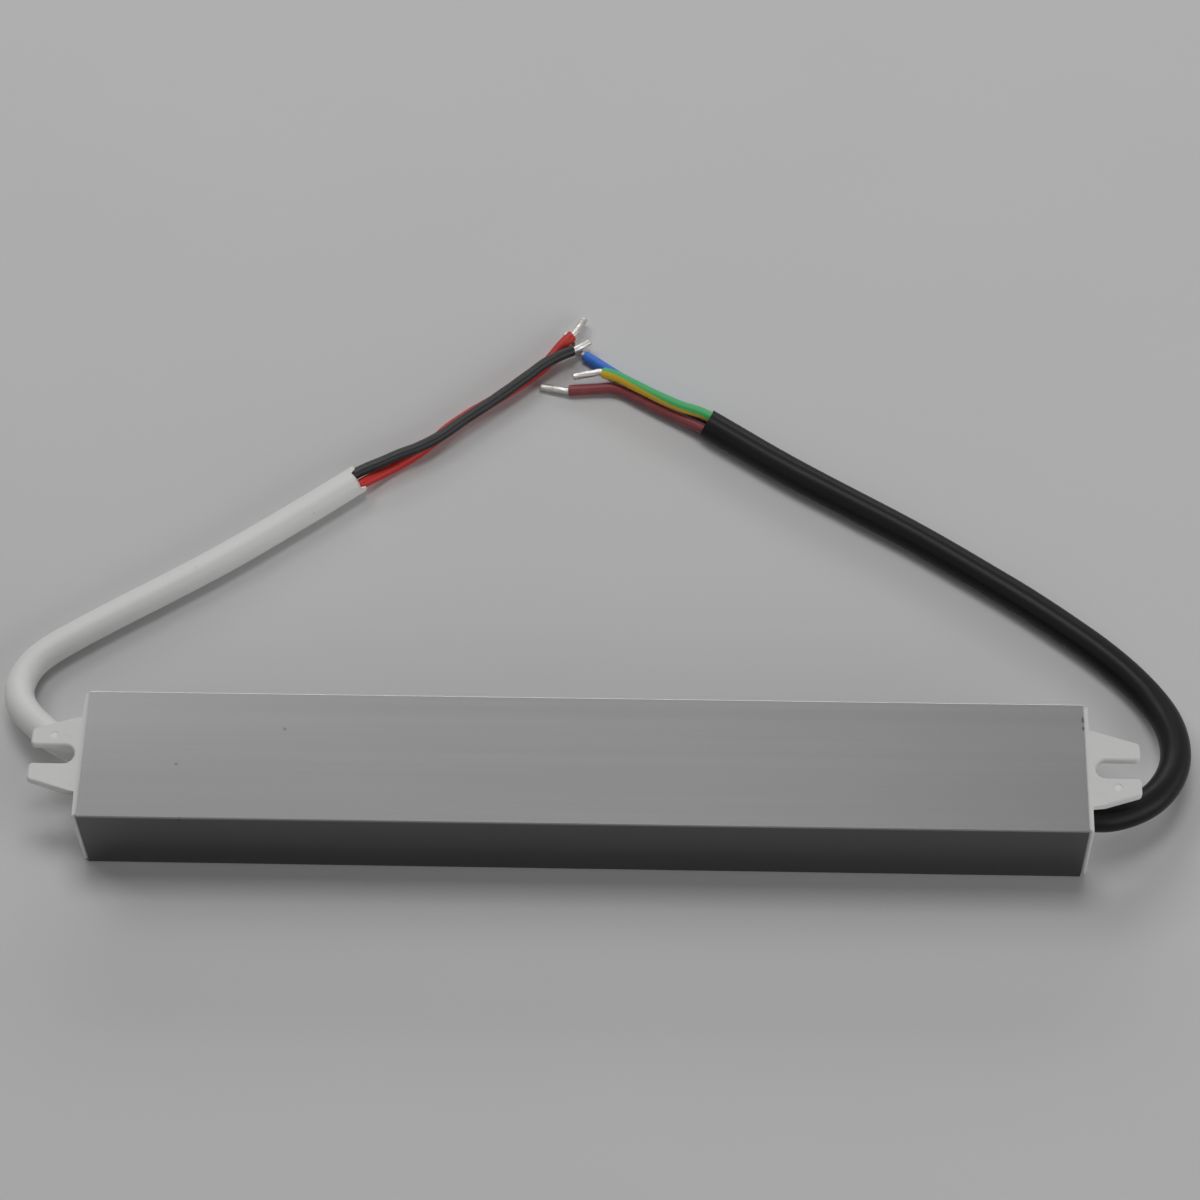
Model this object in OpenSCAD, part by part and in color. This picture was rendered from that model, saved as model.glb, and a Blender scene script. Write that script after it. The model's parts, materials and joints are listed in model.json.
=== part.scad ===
// Slim potted LED driver: a rectangular aluminium tube closed by two moulded end caps with forked
// mounting ears, a two-core output cable at one end and a three-core mains cable at the other.
// The mounting face, level with the ears, lies on top. X runs along the tube, towards the mains end.

/* [Housing tube] */
// Length of the extruded tube
tube_l = 207; // [190:1:260]
// Outer width of the tube
tube_w = 30; // [28:0.5:36]
// Outer height of the tube
tube_h = 20; // [19:0.5:26]
// Wall thickness of the tube
wall = 1.3; // [1:0.1:1.8]
// Radius of the tube's four long outer edges
edge_r = 0.4; // [0.2:0.1:1.2]
// Radius of the tube's four long inner corners
inner_r = 0.5; // [0.3:0.1:1]

/* [Card guides] */
// Reach of each card-guide rib from the side wall
guide_reach = 1.2; // [0.8:0.1:1.6]
// Thickness of each card-guide rib
guide_t = 0.9; // [0.6:0.1:1.2]
// Clearance between the board's faces and the ribs
guide_slack = 0.15; // [0.1:0.05:0.3]

/* [End caps] */
// Thickness of the cap's flange
flange_t = 1.1; // [1:0.1:2]
// Step from the tube's outer faces in to the flange's edge
flange_inset = 0.4; // [0:0.1:0.8]
// Corner radius of the flange
flange_r = 0.5; // [0.3:0.1:2]
// Depth of the cap's plug inside the tube
plug_depth = 6; // [5.5:0.5:9]
// Wall thickness of the plug
plug_wall = 1.4; // [1:0.1:2]
// Clearance between the plug and the tube's inner walls
plug_gap = 0.15; // [0.05:0.05:0.3]

/* [Mounting ears] */
// Reach of the ear from the flange's outer face
ear_reach = 10.2; // [9:0.1:14]
// Thickness of the ear
ear_t = 2; // [1.5:0.1:3]
// Width of the ear where it leaves the flange
ear_root_w = 17.6; // [16:0.1:22]
// Length of the ear's slightly tapered shoulder
shoulder_l = 2.6; // [1:0.1:4]
// Narrowing of the ear over its shoulder
shoulder_drop = 0.6; // [0:0.1:2]
// Width of the ear across its two tips
ear_tip_w = 12; // [11:0.1:16]
// Corner radius of the fork's tips
tip_r = 1; // [0.3:0.1:1.4]
// Width of the open screw slot
slot_w = 4.2; // [3.4:0.1:5]
// Distance from the flange's outer face to the slot's root
slot_setback = 0.9; // [0.5:0.1:3]
// Radius of the fillet under the ear's root
root_fillet_r = 1; // [0.5:0.1:2]
// Diameter of the round ejector mark on the cable side's fork
pin_mark_d = 1.8; // [1:0.1:2.2]
// Depth of the ejector mark
pin_mark_depth = 0.1; // [0.1:0.05:0.4]

/* [Cables] */
// Outer diameter of the output cable
output_cable_d = 6.4; // [5:0.1:7]
// Outer diameter of the mains cable
input_cable_d = 6.5; // [5:0.1:7]
// Sideways offset of each cable hole from the tube's middle
cable_offset = 6; // [5:0.1:8]
// Clearance between the cables and their holes
cable_gap = 0.15; // [0.05:0.05:0.4]
// Length of jacket left inside the cap
cable_tail = 5; // [4:0.5:8]
// Diameter of the cable cores' insulation
core_d = 2.5; // [1.8:0.1:2.6]
// Diameter of the bunched, tinned strands
strand_d = 1.5; // [1:0.1:1.8]
// Width of the cable ties that stop the jackets behind the caps
tie_w = 2.5; // [2:0.1:3]
// Thickness of the cable ties' bands
tie_t = 1.1; // [0.8:0.1:1.4]
// Side of the cable ties' locking heads
tie_head = 3; // [2.5:0.1:4]
// Clearance between a cable tie and the flange
tie_gap = 0.2; // [0.1:0.1:0.6]

/* [Circuit board] */
// Thickness of the board
board_t = 1.6; // [1:0.1:2]
// Clear height between the board's solder side and the mounting wall
board_standoff = 2.4; // [2:0.1:4]
// Clearance between the board's edges and the side walls
board_gap = 0.25; // [0.1:0.05:0.5]
// Distance from the tube's end to the board's end
board_setback = 16; // [14:0.5:20]
// Corner radius of the board
board_r = 1; // [0.5:0.1:2]
// Board length kept for the leads' pads at each end
pad_l = 4; // [3.5:0.5:6]
// Width of the isolation slot between mains and output sides
isolation_w = 1.2; // [1:0.1:2]
// Length of the isolation slot
isolation_l = 11; // [8:0.5:14]

/* [Components] */
// Clearance between the tallest components and the tube's wall
cover = 1; // [0.6:0.1:2]
// Clearance between the components and the card guides
side_gap = 0.5; // [0.3:0.1:1]
// Length of the fuse block
fuse_l = 8.5; // [7:0.5:10]
// Thickness of the fuse block
fuse_t = 4; // [3:0.5:5]
// Height of the fuse block
fuse_h = 8; // [6:0.5:9]
// Diameter of the varistor and of the safety capacitor across the isolation slot
disc_d = 9; // [7:0.5:9.5]
// Thickness of those discs
disc_t = 3.8; // [3:0.1:5]
// Thickness of the mains filter capacitor
x_cap_t = 6.5; // [5:0.5:8]
// Width of the mains filter capacitor
x_cap_w = 18; // [14:0.5:20]
// Outer diameter of the filter choke
choke_d = 17; // [14:0.5:18]
// Diameter of the hole through the filter choke
choke_hole_d = 5; // [4:0.5:6]
// Thickness of the filter choke's winding
choke_wire_t = 1.2; // [0.8:0.1:1.5]
// Height of the filter choke
choke_h = 8; // [7:0.5:10]
// Thickness of the bridge rectifier
bridge_t = 3.6; // [3:0.1:5]
// Width of the bridge rectifier
bridge_w = 14.6; // [12:0.1:18]
// Drop of the bridge rectifier below the tallest components
bridge_drop = 1.4; // [0.5:0.1:3]
// Length of the storage capacitor
bulk_cap_l = 25; // [20:1:27]
// Diameter of the snubber resistor
resistor_d = 3.6; // [2.5:0.1:4.5]
// Length of the snubber resistor
resistor_l = 9; // [7:0.5:10]
// Diameter of the snubber diode
diode_d = 2.7; // [2:0.1:3.5]
// Length of the snubber diode
diode_l = 5.2; // [4:0.1:6]
// Diameter of the wires of the resistor and the diode
axial_wire_d = 0.7; // [0.5:0.1:1]
// Width of the two power packages' bodies
package_w = 10.2; // [9:0.1:11]
// Length of the power packages' bodies
package_l = 15.8; // [14:0.1:16.5]
// Thickness of the power packages' bodies
package_t = 4.6; // [4:0.1:5]
// Length of the transformer's ferrite core
ferrite_l = 21; // [18:0.5:23]
// Width of the transformer's ferrite core
ferrite_w = 20; // [18:0.5:21]
// Thickness of the transformer's ferrite core
ferrite_t = 5.8; // [4:0.1:7]
// Width of the ferrite's outer legs and yokes
ferrite_leg = 2.8; // [2:0.1:3.4]
// Wall of the transformer's bobbin
bobbin_t = 0.8; // [0.6:0.1:1]
// Clearance between the bobbin and the ferrite
bobbin_gap = 0.15; // [0.1:0.05:0.2]
// Diameter step from the tallest components to the output capacitors
output_cap_drop = 2.4; // [1:0.1:4]
// Length of each output capacitor
output_cap_l = 16; // [12:0.5:18]
// Gap between the two output capacitors
output_cap_gap = 1.2; // [0.6:0.1:2]
// Diameter of the output choke
drum_d = 9; // [7:0.5:10]
// Height of the output choke
drum_h = 9.5; // [8:0.5:10]

/* [Hidden] */
$fn = 64;
bite = 0.5;
inner_w = tube_w - 2*wall;
inner_h = tube_h - 2*wall;
end_x = tube_l/2;
ear_top = tube_h - flange_inset;
ear_x = end_x + flange_t;
slot_x = ear_x + slot_setback + slot_w/2;
cable_z = tube_h/2;
cable_hole_d = max(output_cable_d, input_cable_d) + 2*cable_gap;
cable_in_x = end_x - cable_tail;
solder_z = tube_h - wall - board_standoff;
part_z = solder_z - board_t;
board_l = tube_l - 2*board_setback;
board_w = inner_w - 2*board_gap;
zone_w = inner_w - 2*(guide_reach + side_gap);
lane = zone_w/4;
tall = part_z - wall - cover;
output_cap_d = tall - output_cap_drop;
pad_x = board_l/2 - pad_l/2;
pad_pitch = 2*core_d;
// Place of the ejector mark on the cable side's fork
pin_x = slot_x + 1.3*pin_mark_d;
pin_y = -slot_w/2 - 1.25*pin_mark_d;
// Distance of the cores from the axis of a three-core and of a two-core cable
three_spread = 1.2*core_d/sqrt(3);
two_spread = 0.55*core_d;
centre_leg = 2*ferrite_leg;
window_l = ferrite_l - 2*ferrite_leg;
window_w = (ferrite_w - 2*ferrite_leg - centre_leg)/2;
bobbin_l = window_l - 2*bobbin_gap;
bobbin_w = ferrite_w - 2*ferrite_leg - 2*bobbin_gap;
ferrite_z = (tall - ferrite_t)/2;
// Rows of components along the board, from the mains end to the output end, with their lengths
rows = [["mains", max(fuse_l, disc_d)], ["x_capacitor", x_cap_t], ["filter_choke", choke_d],
    ["bridge", bridge_t], ["storage", bulk_cap_l], ["switch", package_w], ["transformer", ferrite_l],
    ["isolation", disc_d], ["rectifier", package_w], ["output_capacitors", output_cap_l],
    ["output_choke", drum_d]];
row_gap = (board_l - 2*pad_l - taken(len(rows)))/(len(rows) + 1);

// Routes of the free cables and of their stripped cores, lying on the surface under the driver
input_route = [[108.6, -6, 9.9], [113.2, -4.6, 9.6], [117.8, -1.6, 8.8], [121.5, 3, 7.7],
    [123.8, 8.8, 6.4], [124.1, 15, 5.2], [122.8, 20.6, 4.2], [120.3, 25.5, 3.6], [117, 30, 3.4],
    [110.4, 36.8, 3.4], [102.9, 43.2, 3.4], [95.1, 49.3, 3.4], [82.8, 58.1, 3.4], [70, 66.8, 3.4],
    [56.7, 75, 3.4], [43.3, 83.3, 3.4], [30.1, 92.3, 3.4], [24.6, 96.1, 3.4]];
output_route = [[-108, 6.9, 9.9], [-111.7, 9, 9.5], [-115.2, 12, 8.7], [-118.4, 15.5, 7.5],
    [-120.9, 19.5, 6.2], [-121.9, 24, 4.9], [-121.2, 28.2, 3.9], [-119.4, 31.6, 3.5],
    [-116.6, 34.4, 3.4], [-111.6, 38.1, 3.4], [-103.3, 43.7, 3.4], [-91.9, 51.1, 3.4],
    [-80.6, 58.7, 3.4], [-69.5, 66.9, 3.4], [-58.4, 75.4, 3.4], [-52.6, 80, 3.4]];
earth_route = [[24.3, 97.1, 5.2], [18.3, 99.6, 5], [13, 102.5, 4.8], [7.7, 105.7, 4.6],
    [3.8, 108, 4.4], [1, 109, 4.2]];
live_route = [[23.2, 95.2, 2.9], [18.2, 98.2, 2.3], [13, 101.2, 2.1], [9.1, 103.6, 2],
    [5.8, 105.6, 1.8], [3.3, 106.5, 1.7], [-0.2, 106.4, 1.5], [-6.7, 105.9, 1.4]];
neutral_route = [[25, 97.6, 2.2], [19.1, 101, 1.6], [13.9, 103.9, 1.4], [8.7, 107.1, 1.4],
    [4.4, 109.9, 1.4], [0.4, 112.9, 1.4], [-3.3, 115.6, 1.4]];
negative_route = [[-52.9, 81.1, 4.1], [-47.6, 83.9, 4.3], [-43.5, 86.2, 4.2], [-40, 87.9, 4.1],
    [-36.6, 90.1, 3.9], [-29.7, 96, 3.9], [-22.7, 101.9, 3.9], [-15.7, 108.3, 3.9],
    [-12.2, 111.5, 4], [-8.7, 113.9, 3.9], [-6, 115.6, 3.4]];
positive_route = [[-51.5, 79.4, 2.7], [-47.7, 82.6, 1.7], [-43.7, 85.5, 1.4], [-40.2, 88.3, 1.3],
    [-36.8, 91.6, 1.3], [-33.4, 95.3, 1.3], [-29.9, 98.4, 1.3], [-22.9, 103.6, 1.3],
    [-15.9, 109.3, 1.3], [-12.3, 112.9, 1.3], [-10.9, 114.8, 1.7], [-8.7, 117.5, 2.6],
    [-6.2, 119.9, 3.4]];
// Ends of the tinned strands
earth_end = [-5.8, 108.6, 3];
live_end = [-13.3, 107.2, 1];
neutral_end = [-8.1, 122, 0.9];
negative_end = [-2.2, 118.7, 2.6];
positive_end = [-3.7, 125.6, 1.8];

// Length taken by the first n rows, and the middle of a named row
function taken(n) = n == 0 ? 0 : rows[n - 1][1] + taken(n - 1);
function row_x(name) =
    let (i = [for (k = [0:len(rows) - 1]) if (rows[k][0] == name) k][0])
    board_l/2 - pad_l - row_gap*(i + 1) - taken(i) - rows[i][1]/2;
function unit(v) = v/norm(v);

// Points of the arc that rounds corner b between its neighbours a and c
function corner_arc(a, b, c, r, n = 8) =
    let (u = unit(a - b), w = unit(c - b), half = acos(u*w)/2)
    let (m = b + unit(u + w)*r/sin(half), p = b + u*r/tan(half), q = b + w*r/tan(half))
    let (start = atan2(p.y - m.y, p.x - m.x), stop = atan2(q.y - m.y, q.x - m.x))
    let (turn = (stop - start + 540)%360 - 180)
    [for (i = [0:n]) m + r*[cos(start + turn*i/n), sin(start + turn*i/n)]];
// A closed outline with each corner rounded by its own radius, or left sharp at zero
function rounded(pts, radii) =
    let (n = len(pts))
    [for (i = [0:n - 1]) let (before = pts[(i + n - 1)%n], after = pts[(i + 1)%n])
        each radii[i] == 0 ? [pts[i]] : corner_arc(before, pts[i], after, radii[i])];

// One ring of points round a route, square to the way the route runs there
function ring(route, i, r, n) =
    let (t = unit(route[min(i + 1, len(route) - 1)] - route[max(i - 1, 0)]))
    let (side = unit(cross([0, 0, 1], t)), up = cross(t, side))
    [for (k = [0:n - 1]) route[i] + r*(cos(360*k/n)*side + sin(360*k/n)*up)];

// A flexible round cord swept along its route
module cord(route, d, n) {
    last = len(route) - 1;
    points = [for (i = [0:last]) each ring(route, i, d/2, n)];
    walls = [for (i = [0:last - 1]) for (k = [0:n - 1])
        [i*n + k, (i + 1)*n + k, (i + 1)*n + (k + 1)%n, i*n + (k + 1)%n]];
    first_face = [for (k = [0:n - 1]) k];
    last_face = [for (k = [n - 1:-1:0]) last*n + k];
    polyhedron(points, concat([first_face], walls, [last_face]));
}

// A straight round wire from one point to another
module rod(a, b, d) {
    v = b - a;
    translate(a) rotate([0, acos(v.z/norm(v)), atan2(v.y, v.x)]) cylinder(h = norm(v), d = d);
}

// A stiff wire bent at each point of its path
module bent_wire(path, d) {
    for (i = [0:len(path) - 2]) rod(path[i], path[i + 1], d);
    for (i = [1:len(path) - 2]) translate(path[i]) sphere(d = d);
}

module rounded_rect(w, h, r) {
    square([w - 2*r, h], center = true);
    square([w, h - 2*r], center = true);
    for (x = [-1, 1], y = [-1, 1]) translate([x*(w/2 - r), y*(h/2 - r)]) circle(r);
}

// Extrudes a section drawn in Y and Z along X, from one X to another
module along_x(from, to) {
    translate([from, 0, 0]) rotate([90, 0, 90]) linear_extrude(to - from) children();
}

// Turns what is built for the mains end to the output end
module at_output_end() rotate([0, 0, 180]) children();

// Stands children on the board's component side, which faces away from the mounting wall
module on_board(row, y = 0) {
    translate([row_x(row), 0, part_z]) rotate([180, 0, 0]) translate([0, y, 0]) children();
}

// Tube and its cavity
module guide_section() {
    rib_w = guide_reach + bite;
    rib_x = inner_w/2 - guide_reach;
    for (x = [rib_x, -rib_x - rib_w], z = [solder_z + guide_slack, part_z - guide_slack - guide_t])
        translate([x, z]) square([rib_w, guide_t]);
}

module cavity_section() {
    difference() {
        translate([0, tube_h/2]) rounded_rect(inner_w, inner_h, inner_r);
        guide_section();
    }
}

module housing_tube() {
    color([0.72, 0.73, 0.74]) along_x(-end_x, end_x) difference() {
        translate([0, tube_h/2]) rounded_rect(tube_w, tube_h, edge_r);
        cavity_section();
    }
}

// End caps, drawn at the mains end
module ear_outline() {
    root = ear_root_w/2;
    waist = root - shoulder_drop/2;
    tip = ear_tip_w/2;
    mouth = slot_w/2;
    bend = ear_x + shoulder_l;
    far = ear_x + ear_reach;
    polygon(rounded([[end_x, -root], [ear_x, -root], [bend, -waist], [far, -tip], [far, -mouth],
                     [slot_x, -mouth], [slot_x, mouth], [far, mouth], [far, tip], [bend, waist],
                     [ear_x, root], [end_x, root]],
                    [0, 0, 0, tip_r, tip_r, 0, 0, tip_r, tip_r, 0, 0, 0]));
}

module ear() {
    difference() {
        translate([0, 0, ear_top - ear_t]) linear_extrude(ear_t) ear_outline();
        translate([slot_x, 0, ear_top - ear_t - bite]) cylinder(h = ear_t + 2*bite, d = slot_w);
        translate([pin_x, pin_y, ear_top - pin_mark_depth])
            cylinder(h = pin_mark_depth + bite, d = pin_mark_d);
    }
}

module root_fillet() {
    w = ear_root_w - 2*root_fillet_r;
    translate([ear_x, w/2, ear_top - ear_t]) rotate([90, 0, 0]) linear_extrude(w) difference() {
        translate([-bite, -root_fillet_r]) square([root_fillet_r + bite, root_fillet_r]);
        translate([root_fillet_r, -root_fillet_r]) circle(root_fillet_r);
    }
}

module plug() {
    w = inner_w - 2*plug_gap;
    h = inner_h - 2*plug_gap;
    notch_h = 2*(guide_t + guide_slack + plug_gap) + board_t;
    notch_z = part_z - guide_slack - guide_t - plug_gap;
    difference() {
        along_x(end_x - plug_depth, end_x + bite) translate([0, tube_h/2]) difference() {
            rounded_rect(w, h, inner_r);
            rounded_rect(w - 2*plug_wall, h - 2*plug_wall, inner_r);
        }
        for (s = [-1, 1])
            translate([end_x - plug_depth - bite, s*inner_w/2 - guide_reach - plug_gap, notch_z])
                cube([plug_depth + bite, 2*(guide_reach + plug_gap), notch_h]);
    }
}

module end_cap() {
    difference() {
        union() {
            along_x(end_x, ear_x) translate([0, tube_h/2])
                rounded_rect(tube_w - 2*flange_inset, tube_h - 2*flange_inset, flange_r);
            plug();
            ear();
            root_fillet();
        }
        translate([end_x - bite, -cable_offset, cable_z]) rotate([0, 90, 0])
            cylinder(h = flange_t + 2*bite, d = cable_hole_d);
    }
}

module input_end_cap() { color([0.9, 0.9, 0.88]) end_cap(); }
module output_end_cap() { color([0.9, 0.9, 0.88]) at_output_end() end_cap(); }

// Cables, their cores and their stops behind the caps
module cable_tie(cable_d) {
    band_r = cable_d/2 + tie_t;
    translate([end_x - tie_gap - tie_w, -cable_offset, cable_z]) difference() {
        union() {
            rotate([0, 90, 0]) cylinder(h = tie_w, r = band_r);
            translate([0, band_r - tie_t/2, -tie_head/2]) cube([tie_w, tie_head, tie_head]);
        }
        translate([-bite, 0, 0]) rotate([0, 90, 0]) cylinder(h = tie_w + 2*bite, d = cable_d);
    }
}

module input_cable_tie() { color([0.92, 0.92, 0.9]) cable_tie(input_cable_d); }
module output_cable_tie() { color([0.92, 0.92, 0.9]) at_output_end() cable_tie(output_cable_d); }

module input_cable() {
    inside = [[cable_in_x, -cable_offset, cable_z], [ear_x, -cable_offset, cable_z]];
    color([0.08, 0.08, 0.09]) cord(concat(inside, input_route), input_cable_d, 12);
}

module output_cable() {
    inside = [[-cable_in_x, cable_offset, cable_z], [-ear_x, cable_offset, cable_z]];
    color([0.86, 0.86, 0.86]) cord(concat(inside, output_route), output_cable_d, 12);
}

module earth_core() { color([0.35, 0.68, 0.3]) cord(earth_route, core_d, 8); }
module live_core() { color([0.5, 0.26, 0.24]) cord(live_route, core_d, 8); }
module neutral_core() { color([0.15, 0.3, 0.65]) cord(neutral_route, core_d, 8); }
module negative_core() { color([0.12, 0.13, 0.14]) cord(negative_route, core_d, 8); }
module positive_core() { color([0.75, 0.2, 0.18]) cord(positive_route, core_d, 8); }

// Bare strands that leave the core's end along its own line, then turn to their free end
module strands(route, end) {
    last = route[len(route) - 1];
    line = unit(last - route[len(route) - 2]);
    color([0.82, 0.82, 0.8]) cord([last, last + strand_d*line, end], strand_d, 8);
}

module earth_strands() { strands(earth_route, earth_end); }
module live_strands() { strands(live_route, live_end); }
module neutral_strands() { strands(neutral_route, neutral_end); }
module negative_strands() { strands(negative_route, negative_end); }
module positive_strands() { strands(positive_route, positive_end); }

// Leads inside the driver, from the jacket's end to their pads, drawn at the mains end.
// turn is where the core sits round the cable's axis, and pad counts pitches from the cable's line.
module lead(turn, spread, pad) {
    y = -cable_offset + spread*cos(turn);
    z = cable_z + spread*sin(turn);
    pad_y = -cable_offset + pad*pad_pitch;
    pad_z = part_z - core_d/2;
    cord([[cable_in_x, y, z], [cable_in_x - core_d, y, z], [pad_x + 1.5*core_d, pad_y, pad_z - core_d/4],
          [pad_x + core_d/2, pad_y, pad_z], [pad_x - core_d/2, pad_y, pad_z]], core_d, 8);
}

module earth_lead() { color([0.35, 0.68, 0.3]) lead(90, three_spread, 0); }
module live_lead() { color([0.5, 0.26, 0.24]) lead(210, three_spread, -1); }
module neutral_lead() { color([0.15, 0.3, 0.65]) lead(330, three_spread, 1); }
module negative_lead() { color([0.12, 0.13, 0.14]) at_output_end() lead(0, two_spread, 0.5); }
module positive_lead() { color([0.75, 0.2, 0.18]) at_output_end() lead(180, two_spread, -0.5); }

// Board
module circuit_board() {
    color([0.12, 0.4, 0.2]) translate([0, 0, part_z]) difference() {
        linear_extrude(board_t) rounded_rect(board_l, board_w, board_r);
        translate([row_x("isolation") - isolation_w/2, -isolation_l/2, -bite])
            cube([isolation_w, isolation_l, board_t + 2*bite]);
    }
}

// Component shapes, each standing on the board's face at z = 0
module block(l, w, h, r) linear_extrude(h) rounded_rect(l, w, r);

module standing_disc(d, t) {
    r = t/3;
    translate([0, t/2, d/2]) rotate([90, 0, 0]) rotate_extrude()
        polygon(rounded([[0, 0], [d/2, 0], [d/2, t], [0, t]], [0, r, r, 0]));
}

// A sleeved electrolytic can lying along X, with its crimp groove near one end
module lying_can(d, l) {
    r = d/2;
    groove = d/24;
    groove_x = l*0.86;
    outline = [[0, 0], [r, 0], [r, groove_x - groove], [r - groove, groove_x], [r, groove_x + groove],
               [r, l], [0, l]];
    translate([-l/2, 0, r]) rotate([0, 90, 0]) rotate_extrude()
        polygon(rounded(outline, [0, groove, 0, 0, 0, groove, 0]));
}

// A round part lying along X on its two bent wires
module axial_part(d, l) {
    z = d/2;
    reach = l/2 + 2*axial_wire_d;
    translate([-l/2, 0, z]) rotate([0, 90, 0]) cylinder(h = l, d = d);
    bent_wire([[-reach, 0, 0], [-reach, 0, z], [reach, 0, z], [reach, 0, 0]], axial_wire_d);
}

// An isolated three-lead power package lying on the board, with a thinner tab and its screw hole
module power_package() {
    leg_w = 0.8;
    leg_t = 0.5;
    leg_l = 4;
    leg_z = package_t/2;
    tab_l = package_l*0.38;
    tab_t = package_t*0.6;
    hole_d = package_w*0.3;
    translate([-package_w/2, -package_l/2, 0]) difference() {
        cube([package_w, package_l, package_t]);
        translate([package_w/2, package_l - tab_l/2, -bite]) cylinder(h = package_t + 2*bite, d = hole_d);
        translate([-bite, package_l - tab_l, tab_t]) cube([package_w + 2*bite, package_l, package_t]);
    }
    for (i = [-1:1]) translate([i*package_w/4 - leg_w/2, -package_l/2 - leg_l, 0]) {
        translate([0, 0, leg_z]) cube([leg_w, leg_l + leg_t, leg_t]);
        cube([leg_w, leg_t, leg_z + leg_t]);
    }
}

// Components in order from the mains end
module fuse() { color([0.75, 0.7, 0.6]) on_board("mains", lane) block(fuse_l, fuse_t, fuse_h, 0.6); }
module varistor() { color([0.15, 0.35, 0.6]) on_board("mains", -lane) standing_disc(disc_d, disc_t); }

module x_capacitor() {
    color([0.85, 0.75, 0.2]) on_board("x_capacitor") block(x_cap_t, x_cap_w, tall, 0.5);
}

module choke_section(grow) {
    inner = choke_hole_d/2 + choke_wire_t - grow;
    outer = choke_d/2 - choke_wire_t + grow;
    translate([inner, choke_wire_t - grow]) square([outer - inner, choke_h - 2*(choke_wire_t - grow)]);
}

module filter_choke_core() {
    color([0.25, 0.35, 0.28]) on_board("filter_choke") rotate_extrude() choke_section(0);
}

// Two windings, each over its own half of the core
module filter_choke_windings() {
    span = 130;
    start = (180 - span)/2;
    color([0.7, 0.35, 0.15]) on_board("filter_choke") for (a = [start, start + 180]) rotate([0, 0, a])
        rotate_extrude(angle = span) difference() {
            choke_section(choke_wire_t);
            choke_section(0);
        }
}

module bridge_rectifier() {
    h = tall - bridge_drop;
    side = bridge_w/2;
    cut = bridge_t*0.8;
    color([0.1, 0.1, 0.1]) on_board("bridge") along_x(-bridge_t/2, bridge_t/2)
        polygon([[-side, 0], [side, 0], [side, h - cut], [side - cut, h], [-side, h]]);
}

module storage_capacitor() {
    color([0.15, 0.12, 0.3]) on_board("storage", (tall - zone_w)/2) lying_can(tall, bulk_cap_l);
}

// The two small axial parts lie end to end beside the storage capacitor
module snubber(end) {
    on_board("storage", (zone_w - resistor_d)/2) translate([end*bulk_cap_l/4, 0, 0]) children();
}

module snubber_resistor() { color([0.3, 0.45, 0.6]) snubber(-1) axial_part(resistor_d, resistor_l); }
module snubber_diode() { color([0.12, 0.12, 0.12]) snubber(1) axial_part(diode_d, diode_l); }

module switching_transistor() { color([0.1, 0.1, 0.1]) on_board("switch") power_package(); }

// A moulded body between two rows of flat legs, n a side
module legged_body(body, leg, n, pitch, lift) {
    root = 0.05;
    translate([-body.x/2, -body.y/2, lift]) cube(body);
    for (i = [0:n - 1], y = [body.y/2 - root, root - body.y/2 - leg.y])
        translate([(i - (n - 1)/2)*pitch - leg.x/2, y, 0]) cube(leg);
}

module controller_chip() {
    color([0.08, 0.08, 0.08]) translate([row_x("switch"), 0, solder_z])
        legged_body([4.9, 3.9, 1.4], [0.4, 1.05, 0.2], n = 4, pitch = 1.27, lift = 0);
}

// Transformer: a ferrite frame round a bobbin whose winding fills the two windows
module transformer_core() {
    window_y = (centre_leg + window_w)/2;
    color([0.2, 0.2, 0.22]) on_board("transformer") translate([0, 0, ferrite_z]) linear_extrude(ferrite_t)
        difference() {
            square([ferrite_l, ferrite_w], center = true);
            for (y = [-window_y, window_y]) translate([0, y]) square([window_l, window_w], center = true);
        }
}

// A box round the ferrite's centre leg, half its height either side of the leg's middle
module bobbin_box(l, w, h) translate([-l/2, -w/2, (tall - h)/2]) cube([l, w, h]);
// The centre leg's own box, grown all round
module leg_box(l, grow) bobbin_box(l, centre_leg + 2*grow, ferrite_t + 2*grow);

module transformer_bobbin() {
    foot_l = (ferrite_l - bobbin_l + bobbin_t)/2;
    foot_x = (ferrite_l - foot_l)/2;
    cheek_x = (bobbin_l - bobbin_t)/2;
    color([0.1, 0.1, 0.1]) on_board("transformer") {
        difference() {
            union() {
                leg_box(bobbin_l, bobbin_gap + bobbin_t);
                for (x = [-cheek_x, cheek_x]) translate([x, 0, 0]) bobbin_box(bobbin_t, bobbin_w, tall);
            }
            leg_box(bobbin_l + 2*bite, bobbin_gap);
        }
        for (x = [-foot_x, foot_x]) translate([x - foot_l/2, -bobbin_w/2, 0])
            cube([foot_l, bobbin_w, ferrite_z - bobbin_gap]);
    }
}

module transformer_winding() {
    l = bobbin_l - 2*bobbin_t;
    color([0.85, 0.7, 0.2]) on_board("transformer") difference() {
        bobbin_box(l, bobbin_w - 2*bobbin_gap, tall - bobbin_t);
        leg_box(l + 2*bite, bobbin_gap + bobbin_t);
    }
}

module optocoupler() {
    color([0.9, 0.9, 0.88]) on_board("isolation", lane)
        legged_body([4.6, 6.4, 3.4], [0.8, 0.3, 2.2], n = 2, pitch = 2.54, lift = 0.4);
}

module y_capacitor() { color([0.2, 0.4, 0.65]) on_board("isolation", -lane) standing_disc(disc_d, disc_t); }
module output_rectifier() { color([0.1, 0.1, 0.1]) on_board("rectifier") power_package(); }

module output_capacitor(side) {
    color([0.1, 0.25, 0.2]) on_board("output_capacitors", side*(output_cap_d + output_cap_gap)/2)
        lying_can(output_cap_d, output_cap_l);
}

module output_capacitor_1() { output_capacitor(1); }
module output_capacitor_2() { output_capacitor(-1); }

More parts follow.
